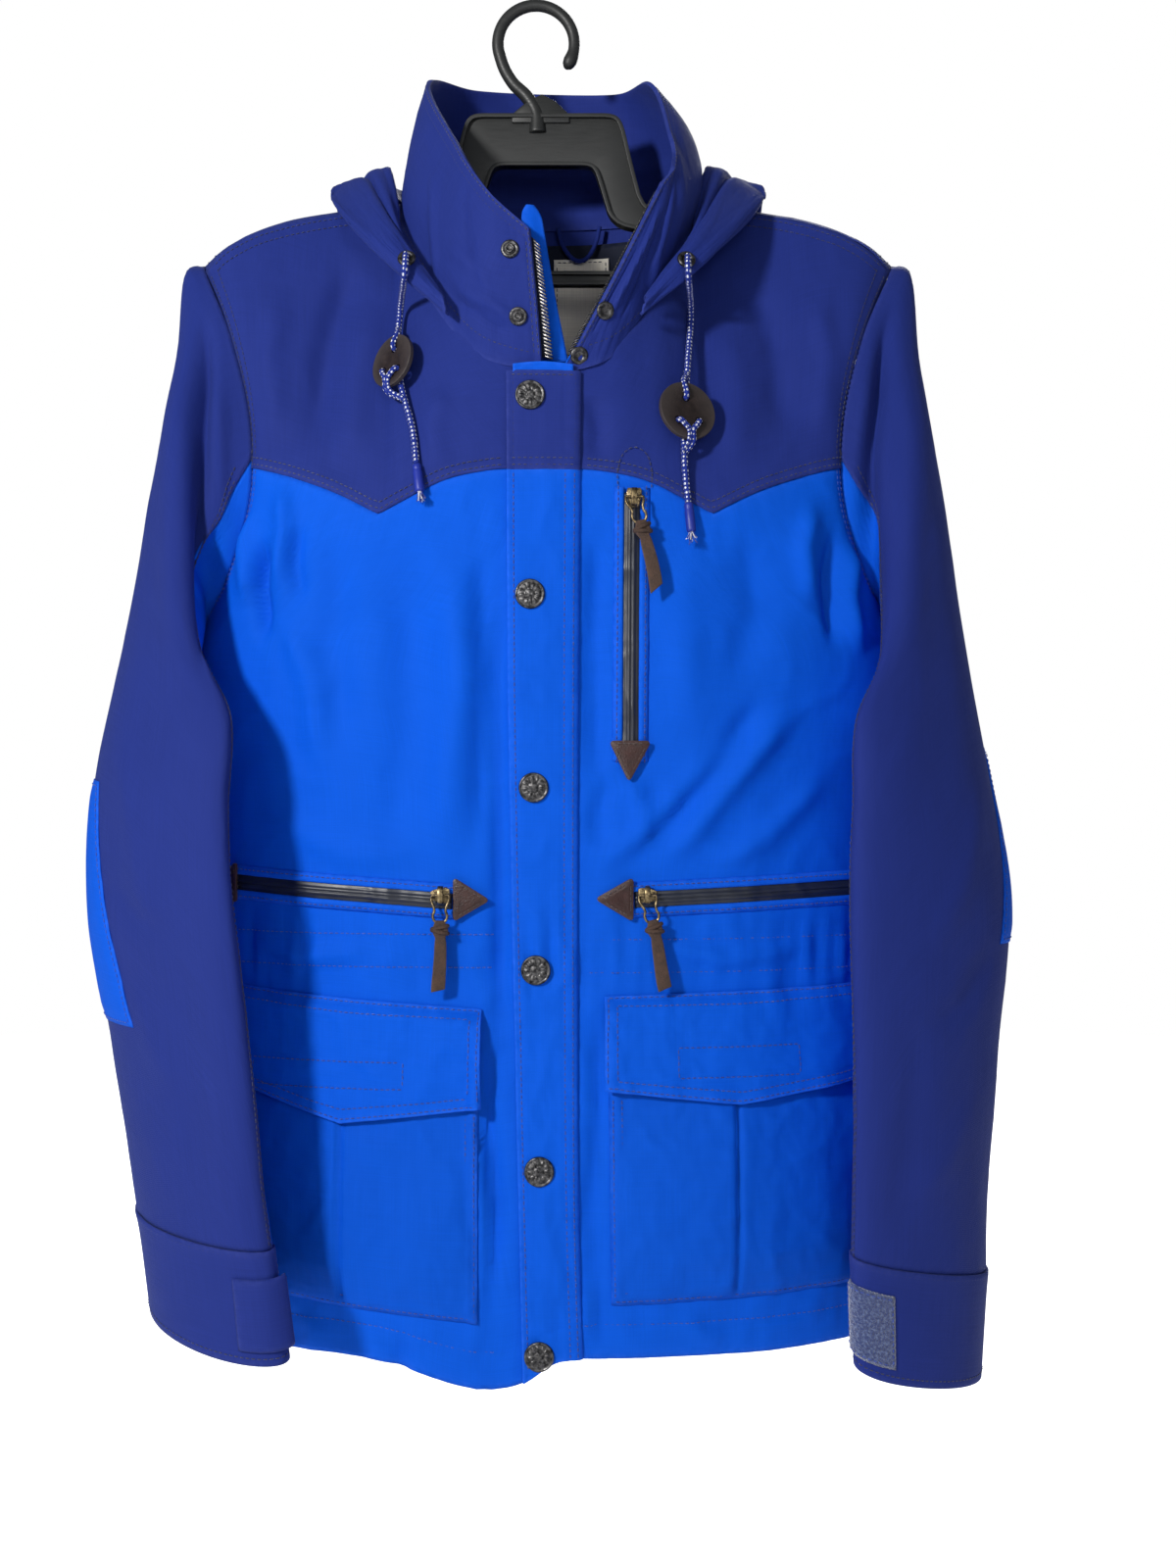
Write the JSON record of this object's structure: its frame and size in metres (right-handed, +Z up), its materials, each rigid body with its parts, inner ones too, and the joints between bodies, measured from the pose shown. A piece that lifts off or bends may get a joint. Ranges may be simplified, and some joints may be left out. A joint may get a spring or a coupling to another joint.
{
  "type": "hooded parka jacket on a hanger",
  "caption": "Hooded two-tone field parka with zip, snap placket, chest zip, zipped hand pockets and flap cargo pockets, hanging open at the neck on a moulded hanger.",
  "frame": {"origin": "inside top of the hanger's hook, where a rail carries it", "axes": "+Z up, the front faces -Y, +X to the wearer's left"},
  "size_m": [0.5927, 0.2792, 0.8761],
  "materials": {
    "indigo": "indigo plain-weave shell cloth",
    "azure": "bright blue plain-weave shell cloth",
    "lining": "dark navy lining",
    "label": "plain cream woven patch",
    "leather": "dark brown leather",
    "zip_tape": "black coated zip tape",
    "metal": "antique dark metal",
    "cord": "blue braid with white flecks",
    "cord_tip": "blue sleeve",
    "hanger": "black moulded plastic"
  },
  "bodies": {
    "jacket": {"back": "azure", "back_yoke": "indigo", "collar": "indigo", "collar_guard": "azure", "cord_left": "cord", "cord_right": "cord", "cord_tip_left": "cord_tip", "cord_tip_right": "cord_tip", "cuff_left": "indigo", "cuff_right": "indigo", "cuff_tab_left": "indigo", "cuff_tab_right": "indigo", "elbow_left": "azure", "elbow_right": "azure", "end_chest": "leather", "end_hand_left_in": "leather", "end_hand_left_out": "leather", "end_hand_right_in": "leather", "end_hand_right_out": "leather", "flap_left": "azure", "flap_right": "azure", "front_left": "azure", "front_right": "azure", "grommet_left": "metal", "grommet_right": "metal", "hanger": "hanger", "hood_left": "indigo", "hood_right": "indigo", "label": "label", "neck_lining": "lining", "placket": "azure", "placket_yoke": "indigo", "pocket_left": "azure", "pocket_right": "azure", "sleeve_left": "indigo", "sleeve_right": "indigo", "slider_chest": "metal", "slider_hand_left": "metal", "slider_hand_right": "metal", "snap_1": "metal", "snap_2": "metal", "snap_3": "metal", "snap_4": "metal", "snap_5": "metal", "snap_6": "metal", "stud_1": "metal", "stud_2": "metal", "toggle_left": "leather", "toggle_right": "leather", "undersleeve_left": "azure", "undersleeve_right": "azure", "yoke_left": "indigo", "yoke_right": "indigo", "zip_chest": "zip_tape", "zip_front_right": "zip_tape", "zip_hand_left": "zip_tape", "zip_hand_right": "zip_tape"},
    "pull_chest": {"pull_chest": "metal"},
    "pull_hand_left": {"pull_hand_left": "metal"},
    "pull_hand_right": {"pull_hand_right": "metal"}
  },
  "joints": [
    {"name": "pull_chest_swing", "type": "hinge", "parent": "jacket", "child": "pull_chest", "pos_m": [0.06172, -0.09652, -0.33389], "axis": [-1, 0, 0], "range_deg": [0, 110]},
    {"name": "pull_hand_left_swing", "type": "hinge", "parent": "jacket", "child": "pull_hand_left", "pos_m": [0.06981, -0.09269, -0.57306], "axis": [-1, 0, 0], "range_deg": [0, 110]},
    {"name": "pull_hand_right_swing", "type": "hinge", "parent": "jacket", "child": "pull_hand_right", "pos_m": [-0.05482, -0.09262, -0.57306], "axis": [-1, 0, 0], "range_deg": [0, 110]}
  ]
}
